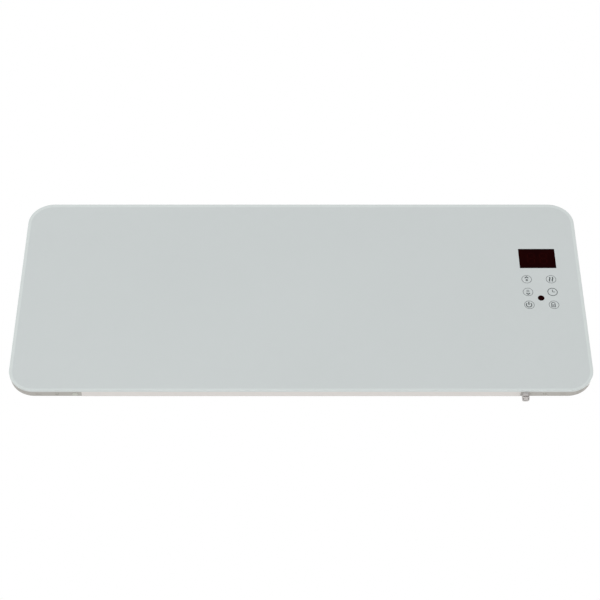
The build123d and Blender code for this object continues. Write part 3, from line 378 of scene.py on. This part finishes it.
def bright_steel():
    """Zinc-plated screws with turning marks and slightly yellow passivation."""
    finish = Finish("screw_steel")
    patch = finish.noise(0.004, 3.0)
    tone = finish.mix(finish.spread(patch, 0, 1), colour(176, 178, 176), colour(206, 204, 192))
    rough = finish.spread(finish.noise(0.0008), 0.22, 0.4)
    relief = finish.bump(patch, 0.00002)
    return finish.surface(Base_Color=tone, Metallic=1.0, Roughness=rough, Normal=relief)


def drawn_aluminium():
    """Extruded aluminium with die lines along X."""
    finish = Finish("element_aluminium")
    lines = finish.noise(0.0012, 3.0, finish.stretched((0.01, 1.0, 1.0)))
    patch = finish.noise(0.05, 3.0)
    low, high = colour(186, 188, 190), colour(220, 222, 223)
    tone = finish.mix(finish.spread(lines * 0.6 + patch * 0.4, 0, 1), low, high)
    rough = finish.spread(lines * 0.5 + patch * 0.5, 0.28, 0.46)
    relief = finish.bump(lines, 0.00004)
    return finish.surface(Base_Color=tone, Metallic=1.0, Roughness=rough, Normal=relief)


def bright_foil():
    """Thin aluminium foil, faintly creased."""
    finish = Finish("foil")
    crease = finish.cells(0.03)
    fine = finish.noise(0.01, 3.0)
    tone = finish.mix(finish.spread(fine, 0, 1), colour(214, 216, 219), colour(234, 235, 237))
    relief = finish.bump(crease * 0.7 + fine * 0.3, 0.0006)
    rough = finish.spread(fine, 0.14, 0.26)
    return finish.surface(Base_Color=tone, Metallic=1.0, Roughness=rough, Normal=relief)


def pressed_fibre():
    """Pale mineral fibre board."""
    finish = Finish("insulation")
    hair = finish.noise(0.003, 5.0, finish.stretched((0.4, 1.0, 1.0)), 0.7)
    clump = finish.noise(0.02, 3.0)
    low, high = colour(196, 190, 172), colour(232, 228, 214)
    tone = finish.mix(finish.spread(hair * 0.6 + clump * 0.4, 0, 1), low, high)
    rough = finish.spread(hair, 0.85, 0.97)
    relief = finish.bump(hair, 0.0006)
    return finish.surface(Base_Color=tone, Roughness=rough, Normal=relief, Sheen_Weight=0.2)


def soft_rubber(name, base, grain=0.0012, depth=0.00008):
    """Rubber, silicone or foam tape: matt, slightly dusty."""
    finish = Finish(name)
    low, high = shades(base, 0.85, 1.35)
    dust = finish.noise(0.012, 4.0)
    grit = finish.noise(grain, 3.0)
    tone = finish.mix(finish.spread(dust, 0, 1), low, high)
    rough = finish.spread(grit * 0.5 + dust * 0.5, 0.62, 0.82)
    relief = finish.bump(grit, depth)
    return finish.surface(Base_Color=tone, Roughness=rough, Normal=relief, Sheen_Weight=0.15)


def glazed(name, base):
    """Fired ceramic with a thin glaze and small iron specks."""
    finish = Finish(name)
    low, high = shades(base, 0.93, 1.04)
    specks = finish.step(finish.cells(0.0016), 0.12, 0.06)
    cloud = finish.noise(0.006, 3.0)
    tone = finish.mix(finish.spread(cloud, 0, 1), low, high)
    tone = finish.mix(specks * 0.5, tone, colour(120, 104, 84))
    rough = finish.spread(cloud, 0.16, 0.3)
    relief = finish.bump(cloud, 0.00005)
    return finish.surface(Base_Color=tone, Roughness=rough, Normal=relief, Coat_Weight=0.3)


def circuit_board():
    """Green solder resist over copper tracks, with pale silk-screen dots."""
    finish = Finish("circuit")
    weave = finish.cells(0.0025, "DISTANCE_TO_EDGE")
    tracks = finish.step(finish.noise(0.006, 1.0, finish.stretched((1.0, 1.0, 0.25))), 0.5, 0.53)
    pads = finish.step(finish.cells(0.005), 0.2, 0.16)
    tone = finish.mix(tracks, colour(28, 86, 48), colour(46, 118, 62))
    tone = finish.mix(pads * 0.8, tone, colour(206, 202, 190))
    relief = finish.bump(tracks * 0.6 + pads * 0.4 + weave * 0.1, 0.00006)
    rough = finish.spread(finish.noise(0.01, 3.0), 0.26, 0.4)
    return finish.surface(Base_Color=tone, Roughness=rough, Normal=relief, Coat_Weight=0.25)


def sleeved_wire():
    """Red-brown silicone sleeve over glass braid."""
    finish = Finish("wire")
    braid = finish.cells(0.0009)
    dust = finish.noise(0.015, 3.0)
    tone = finish.mix(finish.spread(dust, 0, 1), colour(150, 38, 30), colour(186, 62, 48))
    rough = finish.spread(dust, 0.5, 0.7)
    return finish.surface(Base_Color=tone, Roughness=rough, Normal=finish.bump(braid, 0.0001))


def plain_brass():
    """Brass terminals, slightly tarnished."""
    finish = Finish("brass")
    tarnish = finish.noise(0.004, 4.0)
    tone = finish.mix(finish.spread(tarnish, 0, 1), colour(176, 140, 74), colour(216, 184, 112))
    rough = finish.spread(tarnish, 0.4, 0.24)
    relief = finish.bump(tarnish, 0.00003)
    return finish.surface(Base_Color=tone, Metallic=1.0, Roughness=rough, Normal=relief)


FINISHES = {
    "painted_glass": painted_glass(),
    "print_ink": print_ink(),
    "dark_window": dark_window("dark_window", colour(23, 0, 1), colour(27, 1, 1)),
    "unlit_segment": dark_window("unlit_segment", colour(30, 2, 2), colour(34, 3, 3)),
    "pale_paint": powder_coat("pale_paint", colour(217, 213, 210), 0.0014, 0.00009),
    "cover_paint": powder_coat("cover_paint", colour(206, 208, 206), 0.0018, 0.00016),
    "cap_plastic": moulded_plastic("cap_plastic", colour(178, 175, 170)),
    "probe_plastic": moulded_plastic("probe_plastic", colour(190, 186, 184)),
    "plug_plastic": moulded_plastic("plug_plastic", colour(192, 193, 186)),
    "screw_paint": powder_coat("screw_paint", colour(182, 180, 174), 0.0008, 0.00004),
    "grille_plastic": moulded_plastic("grille_plastic", colour(62, 63, 64)),
    "switch_plastic": moulded_plastic(
        "switch_plastic", colour(34, 34, 36), 0.0006, 0.00003, (0.2, 0.32)
    ),
    "switch_ink": moulded_plastic("switch_ink", colour(224, 224, 220), 0.0004, 0.00002),
    "white_plastic": moulded_plastic("white_plastic", colour(226, 226, 220)),
    "blue_plastic": moulded_plastic("blue_plastic", colour(34, 76, 148), dull=(0.22, 0.36)),
    "bracket_steel": zinc_plate("bracket_steel", colour(178, 182, 185)),
    "sheet_steel": zinc_plate("sheet_steel", colour(186, 189, 190), 0.014),
    "screw_steel": bright_steel(),
    "element_aluminium": drawn_aluminium(),
    "foil": bright_foil(),
    "insulation": pressed_fibre(),
    "tape": soft_rubber("tape", colour(52, 52, 52), 0.0018, 0.0002),
    "black_rubber": soft_rubber("black_rubber", colour(38, 38, 38)),
    "silicone": soft_rubber("silicone", colour(168, 74, 58), 0.0014, 0.00006),
    "ceramic": glazed("ceramic", colour(228, 224, 210)),
    "circuit": circuit_board(),
    "wire": sleeved_wire(),
    "brass": plain_brass(),
}

# Pieces with a finish of their own in place of their slot's
OWN_FINISHES = {"blanking_plug": "plug_plastic", "end_cap_screws": "screw_paint"}

# Rounding of the construction pieces' edges, by finish
EDGE_ROUNDS = {
    "cap_plastic": 0.4 * MM,
    "bracket_steel": 0.35 * MM,
    "sheet_steel": 0.25 * MM,
    "grille_plastic": 0.3 * MM,
    "switch_plastic": 0.25 * MM,
    "black_rubber": 0.4 * MM,
    "screw_steel": 0.12 * MM,
    "white_plastic": 0.25 * MM,
    "blue_plastic": 0.4 * MM,
    "ceramic": 0.3 * MM,
    "circuit": 0.15 * MM,
    "brass": 0.1 * MM,
    "element_aluminium": 0.2 * MM,
}


def dress_nodes():
    """Gives every construction piece the finish of its material slot, and eases its edges."""
    for part in frame["record"]["subparts"]:
        node = frame["nodes"][part["node"]]
        finish = OWN_FINISHES.get(part["node"], part["material_slot"])
        for slot in node.material_slots:
            slot.material = FINISHES[finish]
        if finish in EDGE_ROUNDS:
            weld = node.modifiers.new("joined", "WELD")
            weld.merge_threshold = WELD_GAP
            ease = node.modifiers.new("eased_edges", "BEVEL")
            ease.width = EDGE_ROUNDS[finish]
            ease.segments = 2
            ease.limit_method = "ANGLE"
            ease.angle_limit = SHARP_ANGLE
            ease.harden_normals = True


# ---- mesh helpers --------------------------------------------------------------------------------


def piece(name, shape, finish, body="heater", smooth=True):
    """Turns a bmesh into a finished piece that rides on a body."""
    bmesh.ops.remove_doubles(shape, verts=shape.verts, dist=MERGE_GAP)
    bmesh.ops.recalc_face_normals(shape, faces=shape.faces)
    mesh = bpy.data.meshes.new(name)
    shape.to_mesh(mesh)
    shape.free()
    mesh.materials.append(FINISHES[finish])
    if smooth:
        mesh.shade_smooth()
        mesh.set_sharp_from_angle(angle=SHARP_ANGLE)
    made = bpy.data.objects.new(name, mesh)
    if smooth:
        made.modifiers.new("even_normals", "WEIGHTED_NORMAL").keep_sharp = True
    bpy.context.scene.collection.objects.link(made)
    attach(made, body)
    return made


def rounded_panel(shape, width, height, radius, y):
    """One flat face with four round corners, in the plane of that y."""
    corner = shape.verts.new((width / 2, y, height / 2 - radius))
    centre = (width / 2 - radius, y, height / 2 - radius)
    bmesh.ops.spin(
        shape, geom=[corner], cent=centre, axis=(0, -1, 0), angle=math.pi / 2, steps=CORNER_STEPS
    )
    drawn = list(shape.verts) + list(shape.edges)
    still = Matrix.Identity(4)
    drawn += bmesh.ops.mirror(shape, geom=drawn, matrix=still, merge_dist=-1, axis="X")["geom"]
    bmesh.ops.mirror(shape, geom=drawn, matrix=still, merge_dist=-1, axis="Z")
    ordered = sorted(shape.verts, key=lambda vert: math.atan2(vert.co.z, vert.co.x))
    bmesh.ops.delete(shape, geom=list(shape.edges), context="EDGES_FACES")
    return shape.faces.new(ordered)


# ---- prints --------------------------------------------------------------------------------------


def arc(shape, centre, radius, line, start=0.0, sweep=360.0):
    """Flat band round a centre: degrees count from the right towards the top."""
    whole = sweep >= 360.0
    first = math.radians(start)
    verts = []
    for reach in (radius - line / 2, radius + line / 2):
        at = (centre[0] + reach * math.cos(first), 0.0, centre[1] + reach * math.sin(first))
        verts.append(shape.verts.new(at))
    edge = shape.edges.new(verts)
    steps = max(ARC_LEAST_STEPS, round(sweep / ARC_STEP))
    bmesh.ops.spin(
        shape, geom=verts + [edge], cent=(centre[0], 0.0, centre[1]), axis=(0, -1, 0),
        angle=math.radians(sweep), steps=steps, use_merge=whole,
    )


def disc(shape, centre, radius, sides):
    """Flat disc with that many sides."""
    turn = Matrix.Translation((centre[0], 0.0, centre[1])) @ Matrix.Rotation(math.pi / 2, 4, "X")
    bmesh.ops.create_circle(shape, cap_ends=True, radius=radius, segments=sides, matrix=turn)


def bar(shape, start, end, line):
    """Straight stroke between two points, cut square."""
    run = Vector(end) - Vector(start)
    middle = (Vector(start) + Vector(end)) / 2
    place = (
        Matrix.Translation((middle.x, 0.0, middle.y))
        @ Matrix.Rotation(-math.atan2(run.y, run.x), 4, "Y")
        @ Matrix.Rotation(math.pi / 2, 4, "X")
        @ Matrix.Diagonal((run.length, line, 1.0, 1.0))
    )
    return bmesh.ops.create_grid(shape, x_segments=1, y_segments=1, size=0.5, matrix=place)["verts"]


def touching(verts):
    """The vertices with every edge and face that joins them."""
    edges = dict.fromkeys(edge for vert in verts for edge in vert.link_edges)
    faces = dict.fromkeys(face for vert in verts for face in vert.link_faces)
    return [*verts, *edges, *faces]


def only(geometry, kind):
    """The vertices, edges or faces of an operator's result."""
    return [item for item in geometry if isinstance(item, kind)]


def printed(name, shape, finish="print_ink", body="heater", place=ON_GLASS):
    """Gives flat print work its thickness, from its face inwards, and sets it in its place."""
    bmesh.ops.remove_doubles(shape, verts=shape.verts, dist=MERGE_GAP)
    grown = bmesh.ops.extrude_face_region(shape, geom=list(shape.faces), use_keep_orig=True)
    back = only(grown["geom"], bmesh.types.BMVert)
    bmesh.ops.translate(shape, verts=back, vec=(0.0, PRINT_T, 0.0))
    bmesh.ops.transform(shape, matrix=place, verts=shape.verts)
    return piece(name, shape, finish, body, smooth=False)


def key_place(column, row):
    return (KEY_COLUMNS[column], KEY_ROWS[row])


def key_ring(name, place, line):
    shape = bmesh.new()
    arc(shape, place, KEY_R - line / 2, line)
    return printed(name, shape)


def chevron(shape, place, up):
    """Angle bracket with its tip at a place, pointing up or down, mitred at its tip."""
    tip = Vector(place)
    leg = Vector((LEG, -up * LEG))
    verts = bar(shape, tip - leg * 0.5, tip + leg, BOLD_LINE)
    at = Vector((tip.x, 0.0, tip.y))
    cut = bmesh.ops.bisect_plane(
        shape, geom=touching(verts), dist=CUT_GAP, plane_co=at, plane_no=(1, 0, 0),
        clear_inner=True,
    )
    kept = only(cut["geom"], bmesh.types.BMFace)
    verts = dict.fromkeys(vert for face in kept for vert in face.verts)
    twin = bmesh.ops.duplicate(shape, geom=touching(verts))["geom"]
    flip = Matrix.Diagonal((-1.0, 1.0, 1.0, 1.0))
    across = Matrix.Translation(at) @ flip @ Matrix.Translation(-at)
    bmesh.ops.transform(shape, matrix=across, verts=only(twin, bmesh.types.BMVert))


def level_icon(name, row, up, bulb_r, bulb_line):
    """Bulb with an angle bracket over it for warmer, or under it for cooler."""
    x, z = key_place(0, row)
    shape = bmesh.new()
    chevron(shape, (x, z + up * TIP_RISE), up)
    arc(shape, (x, z - up * BULB_DROP), bulb_r, bulb_line)
    return printed(name, shape)


def power_icon():
    """Ring open at its top, with an upright bar in the gap."""
    x, z = key_place(0, 2)
    x -= POWER_SHIFT
    low, high = POWER_BAR
    shape = bmesh.new()
    arc(shape, (x, z - POWER_DROP), POWER_R, POWER_LINE, POWER_START, POWER_SWEEP)
    bar(shape, (x, z + low), (x, z + high), BOLD_LINE)
    return printed("power_print", shape)


def wave(shape, x, z, rise, line):
    """Upright wavy stroke made of two arcs that bend opposite ways and meet at the place."""
    radius = rise / 2
    reach = radius * math.cos(math.radians(WAVE_BEND / 2))
    arc(shape, (x - reach, z + rise / 4), radius, line, -WAVE_BEND / 2, WAVE_BEND)
    arc(shape, (x + reach, z - rise / 4), radius, line, 180.0 - WAVE_BEND / 2, WAVE_BEND)


def heat_icon():
    """Two wavy strokes side by side."""
    x, z = key_place(1, 0)
    shape = bmesh.new()
    for side in (-1, 1):
        wave(shape, x + side * HEAT_SHIFT, z, HEAT_RISE, BOLD_LINE)
    return printed("heat_print", shape)


def clock_icon():
    """Two hands that meet in a square at the middle of the key."""
    x, z = key_place(1, 1)
    shape = bmesh.new()
    corner = HAND_LINE / 2
    bar(shape, (x - corner, z), (x + corner, z), HAND_LINE)
    bar(shape, (x, z + corner), (x, z + LONG_HAND), HAND_LINE)
    bar(shape, (x + corner, z), (x + SHORT_HAND, z), HAND_LINE)
    return printed("clock_print", shape)


def lock_icon():
    """Padlock drawn in outline, with a keyhole slot."""
    x, z = key_place(1, 2)
    x -= LOCK_SHIFT
    low, high = z + LOCK_LOW, z + LOCK_HIGH
    middle = (low + high) / 2
    shape = bmesh.new()
    body = bar(shape, (x - LOCK_HALF, middle), (x + LOCK_HALF, middle), high - low)
    inner = list(body[0].link_faces)
    bmesh.ops.inset_region(
        shape, faces=inner, thickness=LOCK_LINE, use_boundary=True, use_even_offset=True
    )
    bmesh.ops.delete(shape, geom=inner, context="FACES_ONLY")
    bar(shape, (x - KEYHOLE_HALF, middle), (x + KEYHOLE_HALF, middle), KEYHOLE_LINE)
    bow = high + BOW_RISE
    arc(shape, (x, bow), BOW_R, LOCK_LINE, 0, 180)
    for side in (-1, 1):
        bar(shape, (x + side * BOW_R, bow), (x + side * BOW_R, high), LOCK_LINE)
    return printed("lock_print", shape)


def display_window():
    """Dark window, sunk a little so that its digits show."""
    shape = bmesh.new()
    x, z = WINDOW
    bar(shape, (x - WINDOW_W / 2, z), (x + WINDOW_W / 2, z), WINDOW_H)
    place = Matrix.Translation((0.0, PRINT_FRONT + WINDOW_SINK, 0.0))
    return printed("display_window", shape, "dark_window", place=place)


def digit(shape, x, z):
    """The seven segments of one digit."""
    inset = SEGMENT_LINE / 2 + SEGMENT_GAP
    for level in (-1, 0, 1):
        at = z + level * DIGIT_H / 2
        bar(shape, (x - DIGIT_W / 2 + inset, at), (x + DIGIT_W / 2 - inset, at), SEGMENT_LINE)
    for side in (-1, 1):
        for level in (-1, 1):
            at = x + side * DIGIT_W / 2
            ends = (z + level * inset, z + level * (DIGIT_H / 2 - inset))
            bar(shape, (at, ends[0]), (at, ends[1]), SEGMENT_LINE)


def display_digits():
    shape = bmesh.new()
    for shift in DIGIT_SHIFTS:
        digit(shape, WINDOW[0] + shift, WINDOW[1])
    return printed("display_digits", shape, "unlit_segment")


def receiver_window():
    shape = bmesh.new()
    disc(shape, EYE, EYE_R, EYE_SIDES)
    return printed("receiver_window", shape, "dark_window")


def rocker_place(level):
    """Where a mark lies on the upper (1) or lower (-1) face of the rocker."""
    turned = Matrix.Translation(ROCKER_PIVOT) @ Matrix.Rotation(math.radians(ROCKER_TILT), 4, "Y")
    face = Matrix.Translation((ROCKER_MARK[0], 0.0, level * ROCKER_MARK[1]))
    lean = Matrix.Rotation(math.radians(level * ROCKER_FACE_TILT), 4, "Y")
    return turned @ face @ lean @ Matrix.Rotation(math.pi / 2, 4, "Z")


def rocker_marks():
    """Stroke on the rocker's upper face and ring on its lower one."""
    on = bmesh.new()
    bar(on, (0.0, -ROCKER_MARK_R), (0.0, ROCKER_MARK_R), ROCKER_MARK_LINE)
    printed("rocker_on_mark", on, "switch_ink", "rocker", rocker_place(1))
    off = bmesh.new()
    arc(off, (0.0, 0.0), ROCKER_MARK_R, ROCKER_MARK_LINE)
    printed("rocker_off_mark", off, "switch_ink", "rocker", rocker_place(-1))


def glass_panel():
    """Glass with a shallow ground border and a softened arris."""
    shape = bmesh.new()
    face = rounded_panel(shape, GLASS_W, GLASS_H, GLASS_R, GLASS_BACK)
    grown = bmesh.ops.extrude_face_region(shape, geom=[face], use_keep_orig=True)["geom"]
    front = only(grown, bmesh.types.BMFace)
    lift = GLASS_FRONT + BORDER_FALL - GLASS_BACK
    bmesh.ops.translate(shape, verts=only(grown, bmesh.types.BMVert), vec=(0.0, lift, 0.0))
    bmesh.ops.recalc_face_normals(shape, faces=shape.faces)
    bmesh.ops.inset_region(shape, faces=front, thickness=BORDER, depth=0.0, use_even_offset=True)
    # The field is lowered by the same painted refraction, so the inset follows the border's tone
    for vert in front[0].verts:
        vert.co.y = GLASS_FRONT
        vert.co.z -= REFRACTION_DROP
    rims = [edge for edge in shape.edges if edge.calc_face_angle(0.0) > RIM_ANGLE]
    bmesh.ops.bevel(
        shape, geom=rims, offset=ARRIS, offset_type="OFFSET", affect="EDGES",
        segments=ARRIS_SEGMENTS, profile=0.5, material=-1,
    )
    made = piece("glass_panel", shape, "painted_glass")
    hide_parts("glass_front")


def make_front():
    glass_panel()
    for column in range(2):
        for row in range(3):
            line = CLOCK_RING_LINE if (column, row) == (1, 1) else KEY_LINE
            key_ring(f"key_ring_{column + 1}_{row + 1}", key_place(column, row), line)
    level_icon("warmer_print", 0, 1, FULL_BULB_R, FULL_BULB_LINE)
    level_icon("cooler_print", 1, -1, OPEN_BULB_R, OPEN_BULB_LINE)
    power_icon()
    heat_icon()
    clock_icon()
    lock_icon()
    display_window()
    display_digits()
    receiver_window()
    rocker_marks()


# ---- room, lamps and camera ----------------------------------------------------------------------


def pale_floor():
    """Matt white paper, seen a little brighter than it is lit so that it stays pale."""
    finish = Finish("pale_floor")
    fibre = finish.noise(0.02, 4.0)
    tone = finish.mix(finish.spread(fibre, 0, 1), colour(240, 240, 239), colour(246, 246, 245))
    finish.surface(Base_Color=tone, Roughness=0.9, Specular_IOR_Level=0.1)
    seen = finish.node("ShaderNodeLightPath", output="Is Camera Ray")
    lit = Value(finish, finish.shader.outputs[0])
    glow = finish.node("ShaderNodeEmission")
    blend = finish.node("ShaderNodeMixShader", inputs={0: seen * FLOOR_GLOW, 1: lit, 2: glow})
    finish.feed(finish.tree.nodes["Material Output"].inputs["Surface"], blend)
    shape = bmesh.new()
    turn = Matrix.Translation((0.0, 0.0, FLOOR_Z))
    bmesh.ops.create_grid(shape, x_segments=1, y_segments=1, size=FLOOR_HALF, matrix=turn)
    mesh = bpy.data.meshes.new("floor")
    shape.to_mesh(mesh)
    shape.free()
    mesh.materials.append(finish.material)
    floor = bpy.data.objects.new("floor", mesh)
    bpy.context.scene.collection.objects.link(floor)


def white_world():
    """White behind the object and in its reflections, and a softer even light on it."""
    world = bpy.data.worlds.new("studio")
    world.use_nodes = True
    bpy.context.scene.world = world
    nodes = Nodes(world.node_tree)
    seen = nodes.node("ShaderNodeLightPath", output="Is Camera Ray")
    for ray in ("Is Glossy Ray", "Is Transmission Ray"):
        seen = seen.math("MAXIMUM", seen, nodes.node("ShaderNodeLightPath", output=ray))
    inputs = {"Value": seen, "To Min": WORLD_LIGHT, "To Max": 1.0}
    level = nodes.node("ShaderNodeMapRange", inputs=inputs)
    back = nodes.node("ShaderNodeBackground", inputs={"Color": WHITE, "Strength": level})
    nodes.feed(nodes.tree.nodes["World Output"].inputs["Surface"], back)


def soft_lamp(name, place, size, watts, mirrored):
    """Square area lamp aimed at the middle of the object."""
    lamp = bpy.data.lights.new(name, "AREA")
    lamp.size = size
    lamp.energy = watts
    made = bpy.data.objects.new(name, lamp)
    made.location = place
    made.rotation_euler = (-Vector(place)).to_track_quat("-Z", "Y").to_euler()
    made.visible_glossy = mirrored
    bpy.context.scene.collection.objects.link(made)


def camera():
    """Camera straight in front of the object and well below it, tilted up."""
    data = bpy.data.cameras.new("camera")
    data.lens = LENS
    data.sensor_width = SENSOR
    data.clip_end = CAMERA_FAR
    made = bpy.data.objects.new("camera", data)
    made.location = CAMERA_AT
    made.rotation_euler = (math.radians(90 + CAMERA_RISE), 0.0, 0.0)
    bpy.context.scene.collection.objects.link(made)
    bpy.context.scene.camera = made


def room():
    bpy.context.scene.view_settings.view_transform = "Standard"
    pale_floor()
    white_world()
    for name, settings in LAMPS.items():
        soft_lamp(name, *settings)
    camera()


room()
dress_nodes()
make_front()
